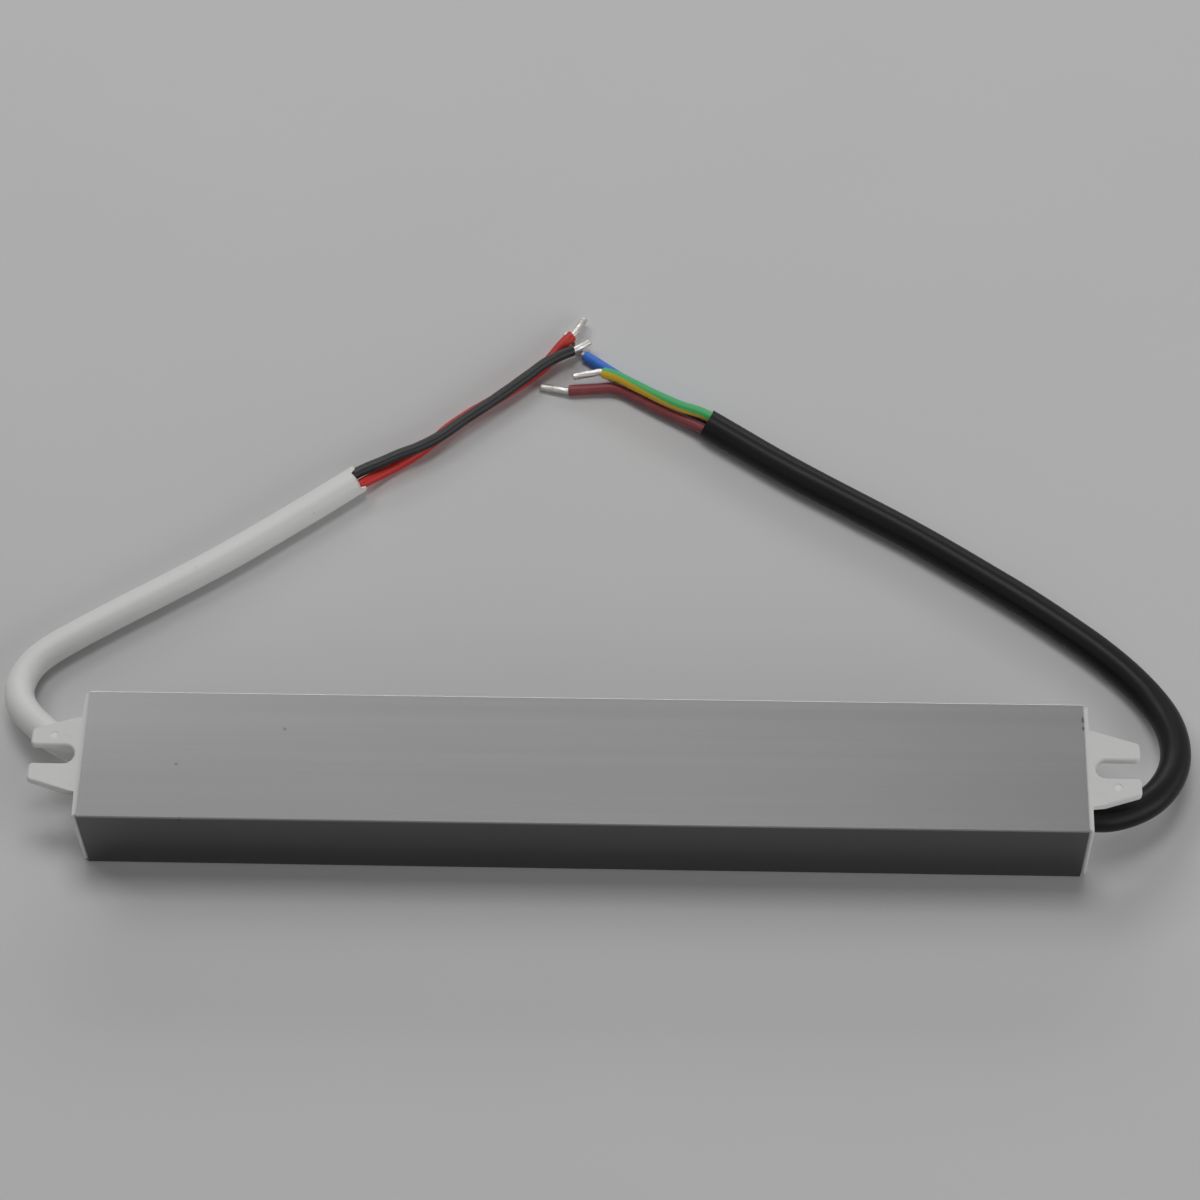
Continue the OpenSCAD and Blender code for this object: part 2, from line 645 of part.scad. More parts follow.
// A drum core with its winding sleeved between the two rims
module output_choke() {
    rim = 1.4;
    waist = 0.6;
    r = drum_d/2;
    color([0.3, 0.3, 0.32]) on_board("output_choke") rotate_extrude()
        polygon([[0, 0], [r, 0], [r, rim], [r - waist, rim], [r - waist, drum_h - rim], [r, drum_h - rim],
                 [r, drum_h], [0, drum_h]]);
}

// Potting that fills the cavity between the two plugs, round everything on the board
module potting_compound() {
    color([0.35, 0.36, 0.38]) difference() {
        along_x(plug_depth - end_x, end_x - plug_depth) cavity_section();
        circuit_board();
        earth_lead();
        live_lead();
        neutral_lead();
        negative_lead();
        positive_lead();
        fuse();
        varistor();
        x_capacitor();
        filter_choke_core();
        filter_choke_windings();
        bridge_rectifier();
        storage_capacitor();
        snubber_resistor();
        snubber_diode();
        switching_transistor();
        controller_chip();
        transformer_core();
        transformer_bobbin();
        transformer_winding();
        optocoupler();
        y_capacitor();
        output_rectifier();
        output_capacitor_1();
        output_capacitor_2();
        output_choke();
    }
}

housing_tube();
input_end_cap();
output_end_cap();
input_cable_tie();
output_cable_tie();
input_cable();
output_cable();
earth_core();
live_core();
neutral_core();
negative_core();
positive_core();
earth_strands();
live_strands();
neutral_strands();
negative_strands();
positive_strands();
earth_lead();
live_lead();
neutral_lead();
negative_lead();
positive_lead();
circuit_board();
fuse();
varistor();
x_capacitor();
filter_choke_core();
filter_choke_windings();
bridge_rectifier();
storage_capacitor();
snubber_resistor();
snubber_diode();
switching_transistor();
controller_chip();
transformer_core();
transformer_bobbin();
transformer_winding();
optocoupler();
y_capacitor();
output_rectifier();
output_capacitor_1();
output_capacitor_2();
output_choke();
potting_compound();
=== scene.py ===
import json
import math

import bmesh
import bpy
import numpy as np
from mathutils import Matrix, Vector


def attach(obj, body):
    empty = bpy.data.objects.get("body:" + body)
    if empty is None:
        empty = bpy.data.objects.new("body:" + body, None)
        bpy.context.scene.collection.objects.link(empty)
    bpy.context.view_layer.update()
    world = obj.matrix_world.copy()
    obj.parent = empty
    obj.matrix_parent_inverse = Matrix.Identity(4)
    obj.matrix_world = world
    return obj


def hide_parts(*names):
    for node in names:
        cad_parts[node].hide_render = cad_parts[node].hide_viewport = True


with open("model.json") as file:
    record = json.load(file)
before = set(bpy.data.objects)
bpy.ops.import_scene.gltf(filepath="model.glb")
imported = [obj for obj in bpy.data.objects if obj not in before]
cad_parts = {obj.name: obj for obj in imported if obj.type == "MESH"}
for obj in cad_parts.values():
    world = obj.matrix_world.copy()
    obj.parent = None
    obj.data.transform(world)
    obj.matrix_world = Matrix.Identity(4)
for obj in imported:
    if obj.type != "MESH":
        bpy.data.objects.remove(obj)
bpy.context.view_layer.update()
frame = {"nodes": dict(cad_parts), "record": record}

# Viewpoint
# The photograph's camera: a long lens over the long front side of the driver, 58 degrees above the
# table and a little to the right, with the picture rolled two degrees.
azimuth, elevation, roll = (math.radians(degrees) for degrees in (3.365, 58.375, -2.116))
lens_mm = 103.54
sensor_mm = 36
near_limit = 0.05
eye_right, eye_up, eye_back = 0.003254, 0.043493, 0.728631
towards = Vector((math.sin(azimuth)*math.cos(elevation), -math.cos(azimuth)*math.cos(elevation),
                  math.sin(elevation)))
level = Vector((0, 0, 1)).cross(towards).normalized()
above = towards.cross(level)
picture_x = math.cos(roll)*level + math.sin(roll)*above
picture_y = math.cos(roll)*above - math.sin(roll)*level
camera = bpy.data.objects.new("camera", bpy.data.cameras.new("camera"))
camera.data.lens = lens_mm
camera.data.sensor_width = sensor_mm
camera.data.clip_start = near_limit
camera.matrix_world = (Matrix.Translation(picture_x*eye_right + picture_y*eye_up + towards*eye_back)
                       @ Matrix((picture_x, picture_y, towards)).transposed().to_4x4())
bpy.context.scene.collection.objects.link(camera)
bpy.context.scene.camera = camera

# Mains cable
# A round three-core cable in a black PVC jacket, extruded over its cores. It is pulled through the
# cap's hole and stopped by a tie inside, and a knife cut its free end a little aslant.
mains_d = 0.0065
mains_mouth_r = 0.00275
mains_cut_slant = 0.00105
mains_cut_turn = 1.07
mains_cut_waver = 0.00006
mouth_depth = 0.0062
jacket_step = 0.0012
jacket_sides = 72
mains_exit = (0.1046, -0.006, 0.010)
mains_route = [
    (0.0985, -0.0060, 0.0100), mains_exit,
    (0.1086, -0.0060, 0.0099), (0.1132, -0.0046, 0.0096), (0.1178, -0.0016, 0.0088),
    (0.1215, 0.0030, 0.0077), (0.1238, 0.0088, 0.0064), (0.1241, 0.0150, 0.0052),
    (0.1228, 0.0206, 0.0042), (0.1203, 0.0255, 0.0036), (0.1170, 0.0300, 0.0034),
    (0.1104, 0.0368, 0.0034), (0.1029, 0.0432, 0.0034), (0.0951, 0.0493, 0.0034),
    (0.0828, 0.0581, 0.0034), (0.0700, 0.0668, 0.0034), (0.0567, 0.0750, 0.0034),
    (0.0433, 0.0833, 0.0034), (0.0301, 0.0923, 0.0034), (0.0246, 0.0961, 0.0034)]


def smooth_line(points, step):
    """Points about a step apart on one smooth curve through the given points."""
    p = np.array(points, float)
    along = distances(p)
    slope = np.gradient(p, along, axis=0)
    at = np.linspace(0, along[-1], math.ceil(along[-1]/step) + 1)
    i = np.clip(np.searchsorted(along, at, side="right") - 1, 0, len(p) - 2)
    span = (along[i + 1] - along[i])[:, None]
    t = (at - along[i])[:, None]/span
    return (p[i]*(1 + 2*t)*(1 - t)**2 + p[i + 1]*t**2*(3 - 2*t)
            + span*(slope[i]*t*(1 - t)**2 - slope[i + 1]*t**2*(1 - t)))


def distances(line):
    """How far along a line each of its points lies."""
    return np.concatenate([[0], np.cumsum(np.linalg.norm(np.diff(line, axis=0), axis=1))])


def unit(v):
    """A direction, one long."""
    return np.array(v)/np.linalg.norm(v)


def round_skin(name, line, rings, sides, swell, cut=None):
    """A mesh of rings round a line, closed by a flat face at each end.
    A ring is (distance along the line, radius, share of the cut): swell gives the radius's change
    by distance and turn, and cut how far the knife ran on at each turn."""
    along = distances(line)
    turn = np.linspace(0, 2*math.pi, sides, endpoint=False)
    probe = along[-1]/len(line)
    corners = []
    for distance, radius, share in rings:
        here, before, after = (np.array([np.interp(s, along, line[:, k]) for k in range(3)])
                               for s in (distance, distance - probe, distance + probe))
        ahead = unit(after - before)
        side = unit(np.cross((0, 0, 1), ahead))
        up = np.cross(ahead, side)
        radii = radius*swell(distance, turn)
        ring = here + radii[:, None]*(np.cos(turn)[:, None]*side + np.sin(turn)[:, None]*up)
        corners.append(ring if cut is None else ring + share*cut(turn)[:, None]*ahead)
    faces = [tuple(range(sides))[::-1]]
    places = [[(0.5, rings[0][0])]*sides]
    for i in range(len(rings) - 1):
        for k in range(sides):
            j = (k + 1) % sides
            faces.append((i*sides + k, i*sides + j, (i + 1)*sides + j, (i + 1)*sides + k))
            near, far = rings[i][0], rings[i + 1][0]
            places.append([(k/sides, near), ((k + 1)/sides, near), ((k + 1)/sides, far), (k/sides, far)])
    faces.append(tuple((len(rings) - 1)*sides + k for k in range(sides)))
    places.append([(0.5, rings[-1][0])]*sides)
    mesh = bpy.data.meshes.new(name)
    mesh.from_pydata(np.concatenate(corners).tolist(), [], faces)
    mesh.shade_smooth()
    layer = mesh.uv_layers.new(name="lay")
    layer.data.foreach_set("uv", np.array([xy for face in places for xy in face], np.float32).ravel())
    return mesh


def hollow_end(length, outer, inner, depth, step):
    """Rings of a sleeve whose far end is cut open: its length, the round lip, and the wall inside."""
    lip = (outer - inner)/2
    cut_zone = 0.004
    cut_rings = 8
    body = [(s, outer, 0) for s in np.linspace(0, length - cut_zone, math.ceil(length/step))]
    body += [(length - cut_zone*(1 - k/cut_rings), outer, (k/cut_rings)**2) for k in range(1, cut_rings)]
    turn_in = [(length - lip + lip*math.sin(a), outer - lip + lip*math.cos(a), 1)
               for a in np.linspace(0, math.pi, cut_rings + 1)]
    return body + turn_in + [(length - depth, inner, 0)]


def new_piece(name, mesh, material):
    """A piece of the driver with this mesh and finish, riding on its one body."""
    piece = bpy.data.objects.new(name, mesh)
    bpy.context.scene.collection.objects.link(piece)
    mesh.materials.append(material)
    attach(piece, "root")
    return piece


def jacket(name, line, diameter, mouth_r, swell, cut, material):
    """A cable's jacket along a line, with its free end cut open."""
    rings = hollow_end(distances(line)[-1], diameter/2, mouth_r, mouth_depth, jacket_step)
    return new_piece(name, round_skin(name, line, rings, jacket_sides, swell, cut), material)


def jacket_swell(cores, show, twist, pulse, pulse_rate):
    """A jacket's radius by distance and turn: its twisted cores show through, and the extruder pulsed."""
    return lambda run, turn: 1 + show*np.cos(cores*turn - twist*run) + pulse*math.sin(pulse_rate*run)


def mains_cut(turn):
    """How far the knife ran on at each turn: a slant, with a slight waver."""
    return mains_cut_waver*np.sin(3*turn) - mains_cut_slant*np.cos(turn - mains_cut_turn)


class NodeValue:
    """An output of a shader node. Sums, differences and products of such values add Math nodes."""

    def __init__(self, socket):
        self.socket = socket
        self.tree = socket.id_data

    def node(self, kind, settings, inputs, output=0):
        """Any other node: its type, its settings, and the numbers or values of its sockets."""
        made = self.tree.nodes.new(kind)
        for name, value in settings.items():
            setattr(made, name, value)
        for key, value in inputs.items():
            self.feed(made.inputs[key], value)
        return NodeValue(made.outputs[output])

    def feed(self, socket, value):
        """Links a value to a socket, or sets a plain number or colour on it."""
        if isinstance(value, NodeValue):
            self.tree.links.new(value.socket, socket)
        else:
            socket.default_value = (*value, 1) if socket.type == "RGBA" else value

    def beside(self, output):
        """Another output of the same node."""
        return NodeValue(self.socket.node.outputs[output])

    def maths(self, operation, first, second):
        return self.node("ShaderNodeMath", {"operation": operation}, {0: first, 1: second})

    def __add__(self, other):
        return self.maths("ADD", self, other)

    def __sub__(self, other):
        return self.maths("SUBTRACT", self, other)

    def __rsub__(self, other):
        return self.maths("SUBTRACT", other, self)

    def __mul__(self, other):
        return self.maths("MULTIPLY", self, other)

    __radd__ = __add__
    __rmul__ = __mul__

    def stretched(self, by):
        """This place with each axis stretched by its own number."""
        return self.node("ShaderNodeVectorMath", {"operation": "MULTIPLY"}, {0: self, 1: by})

    def noise(self, scale, detail):
        """Soft noise at this place, from 0 to 1."""
        return self.node("ShaderNodeTexNoise", {}, {"Vector": self, "Scale": scale, "Detail": detail})

    def ramp(self, low, high, start=0.0, stop=1.0):
        """From start to stop, smoothly, as this value goes from low to high."""
        return self.node("ShaderNodeMapRange", {"interpolation_type": "SMOOTHSTEP"},
                         {"Value": self, "From Min": low, "From Max": high, "To Min": start, "To Max": stop})

    def band(self, start, full, fade, stop):
        """1 where this value lies between full and fade, falling to 0 at start and at stop."""
        return self.ramp(start, full)*self.ramp(fade, stop, 1.0, 0.0)

    def colours(self, first, second):
        """The first colour where this value is 0 and the second where it is 1."""
        return self.node("ShaderNodeMix", {"data_type": "RGBA"}, {0: self, 6: first, 7: second}, 2)


class Finish:
    """A procedural material: one Principled shader, fed by node values or plain numbers."""

    def __init__(self, name, **constants):
        self.material = bpy.data.materials.new(name)
        self.material.use_nodes = True
        self.surface = self.material.node_tree.nodes["Principled BSDF"]
        shader = NodeValue(self.surface.outputs["BSDF"])
        self.place = shader.node("ShaderNodeTexCoord", {}, {}, "Object")
        self.lay = self.place.beside("UV")
        for socket, value in constants.items():
            self.set(socket.replace("_", " "), value)

    def set(self, socket, value):
        self.place.feed(self.surface.inputs[socket], value)

    def spot(self, point, full, rim):
        """1 within the distance full of a point, fading to 0 at the rim."""
        away = self.place.node("ShaderNodeVectorMath", {"operation": "DISTANCE"},
                               {0: self.place, 1: point}, "Value")
        return away.ramp(full, rim, 1.0, 0.0)

    def relief(self, height, strength, depth):
        """Fine bumps of the surface, in metres."""
        self.set("Normal", self.place.node("ShaderNodeBump", {}, {"Height": height, "Strength": strength,
                                                                  "Distance": depth}))


def cable_pvc(name, colour, dust, roughness, gloss):
    """Satin extruded PVC: faint die lines along the cable, a fine pebble, and a little dust."""
    pvc = Finish(name, IOR=1.5, Specular_IOR_Level=gloss)
    pebble = pvc.place.noise(scale=2600, detail=3)
    cloud = pvc.place.noise(scale=90, detail=3)
    die_lines = pvc.lay.stretched((46, 30, 1)).noise(scale=1.0, detail=2)
    fleck = pvc.place.noise(scale=850, detail=4).ramp(0.66, 0.74)*cloud.ramp(0.4, 0.62)
    pvc.set("Base Color", (fleck*0.7 + cloud*0.18 + die_lines*0.12).colours(colour, dust))
    pvc.set("Roughness", roughness - 0.06 + pebble*0.12 + fleck*0.2 + die_lines*0.05)
    pvc.relief(pebble*0.5 + die_lines*0.9 + cloud*0.8, strength=0.35, depth=0.00006)
    return pvc.material


mains_line = smooth_line(mains_route, jacket_step)
mains_cable = jacket(
    "mains_cable", mains_line, mains_d, mains_mouth_r,
    jacket_swell(cores=3, show=0.006, twist=95, pulse=0.004, pulse_rate=310), mains_cut,
    cable_pvc("black_cable_pvc", colour=(0.004, 0.004, 0.0045), dust=(0.025, 0.025, 0.025),
              roughness=0.32, gloss=0.16))
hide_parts("input_cable")

# Output cable
# A round two-core cable in a white PVC jacket, held in the other cap in the same way. Its free end
# was cut by hand, and the knife left a notch in the rim.
output_d = 0.0064
output_mouth_r = 0.00268
output_cut_waver = 0.00008
notch_depth = 0.0014
notch_turn = 2.11
notch_opening = 0.58
notch_corner = 0.2
output_exit = (-0.1046, 0.006, 0.010)
output_route = [
    (-0.0985, 0.0060, 0.0100), output_exit,
    (-0.1080, 0.0069, 0.0099), (-0.1117, 0.0090, 0.0095), (-0.1152, 0.0120, 0.0087),
    (-0.1184, 0.0155, 0.0075), (-0.1209, 0.0195, 0.0062), (-0.1219, 0.0240, 0.0049),
    (-0.1212, 0.0282, 0.0039), (-0.1194, 0.0316, 0.0035), (-0.1166, 0.0344, 0.0034),
    (-0.1116, 0.0381, 0.0034), (-0.1033, 0.0437, 0.0034), (-0.0919, 0.0511, 0.0034),
    (-0.0806, 0.0587, 0.0034), (-0.0695, 0.0669, 0.0034), (-0.0584, 0.0754, 0.0034),
    (-0.0526, 0.0800, 0.0034)]


def output_cut(turn):
    """How far the knife ran on at each turn: a slight waver, and back in the round-cornered notch."""
    rise = np.clip((np.cos(turn - notch_turn) - notch_opening)/notch_corner, 0, 1)
    return output_cut_waver*np.sin(3*turn + 1) - notch_depth*(rise*rise*(3 - 2*rise))


output_line = smooth_line(output_route, jacket_step)
output_cable = jacket(
    "output_cable_jacket", output_line, output_d, output_mouth_r,
    jacket_swell(cores=2, show=0.006, twist=80, pulse=0.003, pulse_rate=290), output_cut,
    cable_pvc("white_cable_pvc", colour=(0.87, 0.87, 0.86), dust=(0.68, 0.67, 0.65),
              roughness=0.42, gloss=0.4))
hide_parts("output_cable")

# Cores
# The cables' insulated cores, bared where the jacket is cut back: green and yellow, brown and blue on
# the mains side, black and red on the output. Each starts inside the jacket, and its far end is cut
# back round its strands.
core_d = 0.0025
core_mouth_r = 0.00084
core_mouth_depth = 0.0014
core_tuck = 0.0052
core_step = 0.0006
core_sides = 26
stripe_run = (0.004, 0.034)
stripe_turns = (-0.075, 0.06)
stripe_edges = (0.105, 0.185, 0.62, 0.67)
core_routes = {
    "earth": [(0.0243, 0.0971, 0.0052), (0.0183, 0.0996, 0.0050), (0.0130, 0.1025, 0.0048),
              (0.0077, 0.1057, 0.0046), (0.0038, 0.1080, 0.0044), (0.0010, 0.1090, 0.0042)],
    "live": [(0.0232, 0.0952, 0.0029), (0.0182, 0.0982, 0.0023), (0.0130, 0.1012, 0.0021),
             (0.0091, 0.1036, 0.0020), (0.0058, 0.1056, 0.0018), (0.0033, 0.1065, 0.0017),
             (-0.0002, 0.1064, 0.0015), (-0.0067, 0.1059, 0.0014)],
    "neutral": [(0.0250, 0.0976, 0.0022), (0.0191, 0.1010, 0.0016), (0.0139, 0.1039, 0.0014),
                (0.0087, 0.1071, 0.0014), (0.0044, 0.1099, 0.0014), (0.0004, 0.1129, 0.0014),
                (-0.0033, 0.1156, 0.0014)],
    "negative": [(-0.0529, 0.0811, 0.0041), (-0.0476, 0.0839, 0.0043), (-0.0435, 0.0862, 0.0042),
                 (-0.0400, 0.0879, 0.0041), (-0.0366, 0.0901, 0.0039), (-0.0297, 0.0960, 0.0039),
                 (-0.0227, 0.1019, 0.0039), (-0.0157, 0.1083, 0.0039), (-0.0122, 0.1115, 0.0040),
                 (-0.0087, 0.1139, 0.0039), (-0.0060, 0.1156, 0.0034)],
    "positive": [(-0.0515, 0.0794, 0.0027), (-0.0477, 0.0826, 0.0017), (-0.0437, 0.0855, 0.0014),
                 (-0.0402, 0.0883, 0.0013), (-0.0368, 0.0916, 0.0013), (-0.0334, 0.0953, 0.0013),
                 (-0.0299, 0.0984, 0.0013), (-0.0229, 0.1036, 0.0013), (-0.0159, 0.1093, 0.0013),
                 (-0.0123, 0.1129, 0.0013), (-0.0109, 0.1148, 0.0017), (-0.0087, 0.1175, 0.0026),
                 (-0.0062, 0.1199, 0.0034)]}
core_finishes = {
    "earth": ("green_yellow_core_pvc", "insulation_green_yellow", (0.84, 0.54, 0.03), (0.065, 0.48, 0.15)),
    "live": ("brown_core_pvc", "insulation_brown", (0.26, 0.052, 0.058), (0.34, 0.10, 0.105)),
    "neutral": ("blue_core_pvc", "insulation_blue", (0.04, 0.19, 0.72), (0.08, 0.25, 0.76)),
    "negative": ("black_core_pvc", "insulation_black", (0.013, 0.013, 0.015), (0.05, 0.05, 0.055)),
    "positive": ("red_core_pvc", "insulation_red", (0.60, 0.022, 0.016), (0.66, 0.08, 0.06))}
jacket_routes = {core: mains_route if core in ("earth", "live", "neutral") else output_route
                 for core in core_routes}


def wire_pvc(name, first, second, striped):
    """Smooth thin-wall PVC with a slight sheen and faint handling marks along it. The second colour
    is a striped core's other half, or the dulled, paler wear of a plain one."""
    pvc = Finish(name, IOR=1.5, Specular_IOR_Level=0.32)
    drag = pvc.lay.stretched((26, 120, 1)).noise(scale=1.0, detail=3)
    grain = pvc.place.noise(scale=4200, detail=2)
    wear = pvc.place.noise(scale=420, detail=4).ramp(0.5, 0.78)
    share = extruded_stripe(pvc) if striped else wear*0.5 + drag*0.2
    pvc.set("Base Color", share.colours(first, second))
    pvc.set("Roughness", 0.32 + wear*0.16 + grain*0.08)
    pvc.relief(grain*0.3 + drag, strength=0.3, depth=0.00003)
    return pvc.material


def extruded_stripe(pvc):
    """Where the earth core is green: over half of each turn, slowly turning along it, with soft joins."""
    turn = pvc.lay.node("ShaderNodeSeparateXYZ", {}, {"Vector": pvc.lay})
    turned = turn.beside("Y").ramp(*stripe_run, *stripe_turns)
    waver = (pvc.place.noise(scale=900, detail=2) - 0.5)*0.03
    return (turn - turned + waver).band(*stripe_edges)


def core_swell(run, turn):
    """The insulation's slight waver in size along a core, and its slightly oval, turning section."""
    size_waver = 0.010*math.sin(900*run)
    oval = 0.008*np.sin(2*turn + 300*run)
    return 1 + size_waver + oval


def core_cut(turn):
    """How far the stripping blade ran on at each turn: a slant, with a slight waver."""
    slant = 0.00009*np.sin(turn + 0.6)
    waver = 0.00004*np.sin(2*turn)
    return slant + waver


core_lines = {}
for core, route in core_routes.items():
    inwards = unit(np.subtract(jacket_routes[core][-2], jacket_routes[core][-1]))
    tucked_in = tuple(np.array(route[0]) + core_tuck*inwards)
    line = smooth_line([tucked_in] + route, core_step)
    rings = hollow_end(distances(line)[-1], core_d/2, core_mouth_r, core_mouth_depth, core_step)
    mesh = round_skin(f"{core}_core_wire", line, rings, core_sides, core_swell, core_cut)
    finish_name, slot, first, second = core_finishes[core]
    finish = wire_pvc(finish_name, first, second, striped=(core == "earth"))
    new_piece(f"{core}_core_wire", mesh, finish)
    core_lines[core] = line
    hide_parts(f"{core}_core")

# Tinned strands
# Each core's copper strands, twisted together by hand, dipped in solder and cut off. The dip fills the
# lay between the strands but leaves their ridges, and ends in a rounded bead.
strand_d = 0.0015
strand_count = 7
strand_lay = 0.034
strand_flare = 0.03
strand_tuck = 0.0013
strand_lip = 0.0004
strand_bend = 0.0006
strand_step = 0.0003
strand_sides = 48
bead = 0.0004
strand_ends = {"earth": (-0.0058, 0.1086, 0.0030), "live": (-0.0133, 0.1072, 0.0010),
               "neutral": (-0.0081, 0.1220, 0.0009), "negative": (-0.0022, 0.1187, 0.0026),
               "positive": (-0.0037, 0.1256, 0.0018)}


def solder_dipped(run, turn):
    """The strands' ridges in their twist, half filled with solder, and a slight lump to one side."""
    ridges = np.abs(np.sin(strand_count/2*(turn - 2*math.pi*run/strand_lay)))
    lump = 0.01*np.sin(turn + 400*run)
    return 0.97 + 0.07*ridges + lump


tin = Finish("tinned_strands", Metallic=0.9, IOR=1.6)
flow = tin.place.noise(scale=1500, detail=3)
flux = tin.place.noise(scale=520, detail=4).ramp(0.52, 0.72)
tin.set("Base Color", (flux*0.7 + flow*0.3).colours((0.62, 0.605, 0.58), (0.36, 0.335, 0.29)))
tin.set("Roughness", 0.3 + flow*0.16 + flux*0.2)
tin.relief(flow, strength=0.4, depth=0.00005)
for core, end in strand_ends.items():
    last, before = core_lines[core][-1], core_lines[core][-3]
    ahead = unit(last - before)
    bend = last + strand_bend*ahead
    free = np.array(end) - bend
    line = smooth_line([last - strand_tuck*ahead, last - strand_lip*ahead, bend, bend + 0.3*free,
                        bend + 0.65*free, end], strand_step)
    length = distances(line)[-1]
    rings = [(s, strand_d/2*(1 + strand_flare*s/length), 0)
             for s in np.linspace(0, length - bead, math.ceil(length/strand_step))]
    rings += [(length - bead + bead*math.sin(a), strand_d/2*(1 + strand_flare) - bead*(1 - math.cos(a)), 0)
              for a in np.linspace(0.25, 1.5, 6)]
    strands = new_piece(f"{core}_tinned_strands",
                        round_skin(f"{core}_tinned_strands", line, rings, strand_sides, solder_dipped),
                        tin.material)
    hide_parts(f"{core}_strands")

# Housing tube
# The body is a length of bare extruded aluminium tube, sawn off at both ends. The die leaves fine lines
# along it, and handling leaves dull patches, nicks and specks. Its colour has painted shade towards the
# front and on the front face, painted light towards the back, and a painted highlight along the long top
# edges, the back one most. At one end two short dark marks lie across the top by the seam.
tube = frame["nodes"]["housing_tube"]
tube_end, tube_side, tube_top = np.max([corner.co for corner in tube.data.vertices], axis=0)
edge_start, edge_full = 0.00038, 0.00026
front_edge_start, front_edge_full = 0.00034, 0.00022
face_margin = 0.0005
nick_spots = {(-0.0620, 0.0064, 0.02): 0.0006, (-0.0839, -0.0023, 0.02): 0.0005,
              (-0.0822, -0.0149, 0.0196): 0.0007}
seam_mark_spans = ((0.0086, 0.0097), (0.0104, 0.0119))
seam_mark_blur = 0.0003
seam_start, seam_full = 0.0006, 0.0002
seam_low, seam_high = 0.0005, 0.0004
aluminium = Finish("extruded_aluminium", Metallic=1.0, IOR=1.5)
along_tube = aluminium.place.node("ShaderNodeSeparateXYZ", {}, {"Vector": aluminium.place})
across_tube = along_tube.beside("Y")
up_tube = along_tube.beside("Z")
broad_lines = aluminium.place.stretched((5, 420, 420)).noise(scale=1.0, detail=4)
fine_lines = aluminium.place.stretched((14, 2600, 2600)).noise(scale=1.0, detail=3)
lines = broad_lines*0.55 + fine_lines*0.45
patches = aluminium.place.stretched((18, 60, 60)).noise(scale=1.0, detail=4)
nicks = aluminium.place.noise(scale=900, detail=2).ramp(0.735, 0.77)*patches.ramp(0.42, 0.6)*0.35
for nick, size in nick_spots.items():
    nicks = nicks + aluminium.spot(nick, size*0.3, size)
grain = lines*0.7 + patches*0.3 - nicks*0.5
# Painted shade and light: the metal is darker towards the front and on the front face, lighter towards the
# back.
front_shaded_metal = grain.colours((0.101, 0.101, 0.101), (0.137, 0.137, 0.137))
back_lit_metal = grain.colours((0.124, 0.124, 0.124), (0.167, 0.167, 0.167))
towards_back = across_tube.ramp(face_margin - tube_side, tube_side - face_margin)
metal_shaded_front_to_back = towards_back.colours(front_shaded_metal, back_lit_metal)
# Painted highlight: a lighter colour along the long top edges, mostly along the back one.
top_edge = up_tube.ramp(tube_top - edge_start, tube_top - edge_full)
back_edge_highlight = across_tube.ramp(tube_side - edge_start, tube_side - edge_full)*top_edge
front_edge_highlight = across_tube.ramp(front_edge_full - tube_side, front_edge_start - tube_side, 1.0, 0.0)*top_edge
metal_with_edge_highlights = (back_edge_highlight + front_edge_highlight*0.15).colours(metal_shaded_front_to_back, (0.55, 0.55, 0.55))
# Two short dark marks across the top, by the seam at the tube's end.
seam_dark_marks = sum(across_tube.band(start, start + seam_mark_blur, stop - seam_mark_blur, stop)
                for start, stop in seam_mark_spans)
seam = (along_tube.ramp(tube_end - seam_start, tube_end - seam_full)
        *up_tube.ramp(tube_top - seam_low, tube_top - seam_high))
aluminium.set("Base Color", (seam*seam_dark_marks*0.75).colours(metal_with_edge_highlights, (0.012, 0.012, 0.012)))
aluminium.set("Roughness", 0.23 + lines*0.12 + patches*0.06 + nicks*0.2)
aluminium.relief(fine_lines*0.5 + broad_lines*0.5 - nicks*1.5, strength=0.22, depth=0.00004)
tube.data.materials[0] = aluminium.material

# End caps
# Each end is closed by one white moulded cap: a flange against the tube's end, a hollow plug inside it
# and a forked ear for the screw. The mould left its edges rounded, the ear's more than the flange's,
# and the ejector pin left a shallow mark on each ear, which has a painted highlight.
ear_edge_r = 0.00055
flange_edge_r = 0.00028
edge_segments = 4
flat_angle, rounded_angle, sharp_angle = (math.radians(degrees) for degrees in (0.5, 30, 40))
flange_face = mains_exit[0]
fillet_reach, fillet_side, fillet_top = 0.1056, 0.0095, 0.0175
ejector_mark = Vector((0.10994, -0.00435, 0.0196))
ejector_mark_rim = 0.0014
same_point = 1e-6
bevel_gap = 2e-6
hair = 1e-5
sort_line = Vector((1.0, 0.618, 0.382))
cap_turns = {"input_end_cap": Matrix.Identity(4), "output_end_cap": Matrix.Rotation(math.pi, 4, "Z")}
cap_plastic = Finish("moulded_cap_plastic", IOR=1.5, Specular_IOR_Level=0.45)
spark = cap_plastic.place.noise(scale=2300, detail=3)
shade = cap_plastic.place.noise(scale=150, detail=4)
grime = cap_plastic.place.noise(scale=600, detail=4).ramp(0.6, 0.8)*shade.ramp(0.45, 0.62)
# Painted highlight: a lighter spot on each ear's ejector pin mark.
painted_mark_highlight = sum(cap_plastic.spot(turn @ ejector_mark, 0.0004, 0.0011) for turn in cap_turns.values())
body_colour = (grime*0.55 + shade*0.25).colours((0.74, 0.74, 0.73), (0.62, 0.615, 0.60))
cap_plastic.set("Base Color", painted_mark_highlight.colours(body_colour, (0.83, 0.83, 0.82)))
cap_plastic.set("Roughness", 0.40 + spark*0.12 + shade*0.06)
cap_plastic.relief(spark*0.5 + shade*0.6, strength=0.25, depth=0.00004)


def sort_number(corners):
    """How far along a slanting line some corners lie, which differs from place to place."""
    return sum(corner.co.dot(sort_line) for corner in corners)/len(corners)


